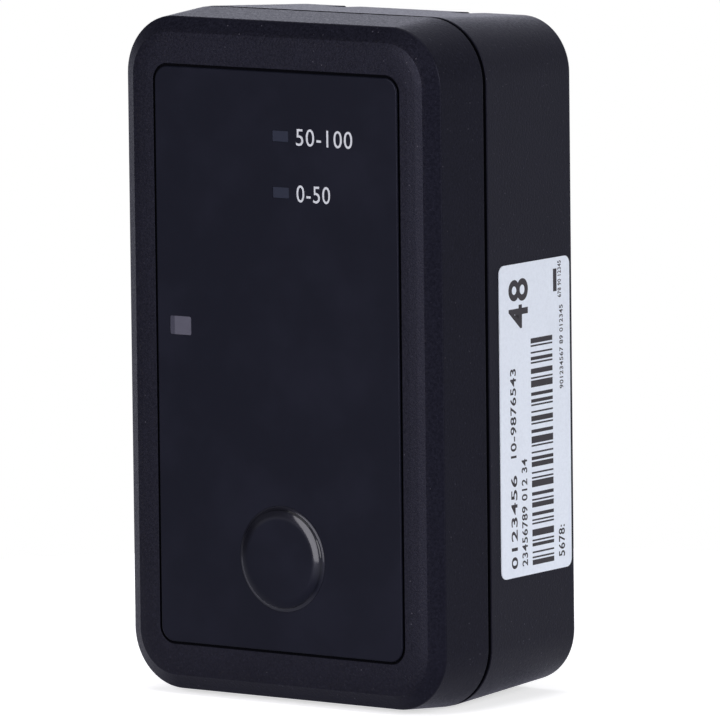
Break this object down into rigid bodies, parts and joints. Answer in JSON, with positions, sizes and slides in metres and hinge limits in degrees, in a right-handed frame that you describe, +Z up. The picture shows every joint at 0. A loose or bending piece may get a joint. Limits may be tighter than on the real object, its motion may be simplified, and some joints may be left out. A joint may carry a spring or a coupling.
{
  "type": "gps tracker",
  "caption": "Pocket tracker in a bevelled two-part moulded housing, with a flush front film, a round sprung key, lamp and sensor windows, and cells and a circuit board inside.",
  "frame": {"origin": "centre of the bounding box's bottom face, under the lower end of the housing", "axes": "+Z up along the height, the film and the key face -Y, +X to the right seen from the front"},
  "size_m": [0.0568, 0.0342, 0.0974],
  "materials": {
    "housing_plastic": "fine spark texture, nearly black",
    "film_plastic": "satin printed film",
    "window_plastic": "smoked, semi-gloss",
    "clear_plastic": "polished acrylic",
    "white_plastic": "moulded",
    "red_plastic": "moulded",
    "grey_plastic": "moulded",
    "chip_plastic": "moulded epoxy",
    "board_laminate": "solder mask",
    "antenna_ceramic": "fired, silvered top",
    "steel": "nickel plated",
    "insert_brass": "turned",
    "foil_copper": "flexible circuit foil",
    "cell_can": "plastic sleeve over a metal can",
    "soft_rubber": "silicone",
    "foam": "closed-cell foam",
    "label_paper": "coated label stock"
  },
  "bodies": {
    "body": {"front_housing": "housing_plastic", "front_film": "film_plastic", "lamp_windows": "window_plastic", "sensor_window": "window_plastic", "switch_body": "grey_plastic", "lamp_light_guides": "clear_plastic", "sensor_light_guide": "clear_plastic", "status_leds": "white_plastic", "light_sensor": "chip_plastic", "main_board": "board_laminate", "board_screws": "steel", "satellite_antenna": "antenna_ceramic", "antenna_tape": "foam", "processor_chips": "chip_plastic", "radio_shield": "steel", "sim_holder": "steel", "sim_card": "white_plastic", "antenna_carrier": "grey_plastic", "cellular_antenna": "foil_copper", "battery_holder": "grey_plastic", "cell_left": "cell_can", "cell_middle": "cell_can", "cell_right": "cell_can", "spring_contacts": "steel", "tab_contacts": "steel", "foam_pad": "foam", "housing_gasket": "soft_rubber", "rear_housing": "housing_plastic", "threaded_inserts": "insert_brass", "case_screws": "steel", "side_label": "label_paper"},
    "key": {"key_cap": "film_plastic", "key_plunger": "white_plastic", "switch_stem": "red_plastic"}
  },
  "joints": [
    {"name": "key_press", "type": "slide", "parent": "body", "child": "key", "axis": [0, 1, 0], "range_m": [0, 0.0003], "stiffness_N_per_m": 5000}
  ]
}
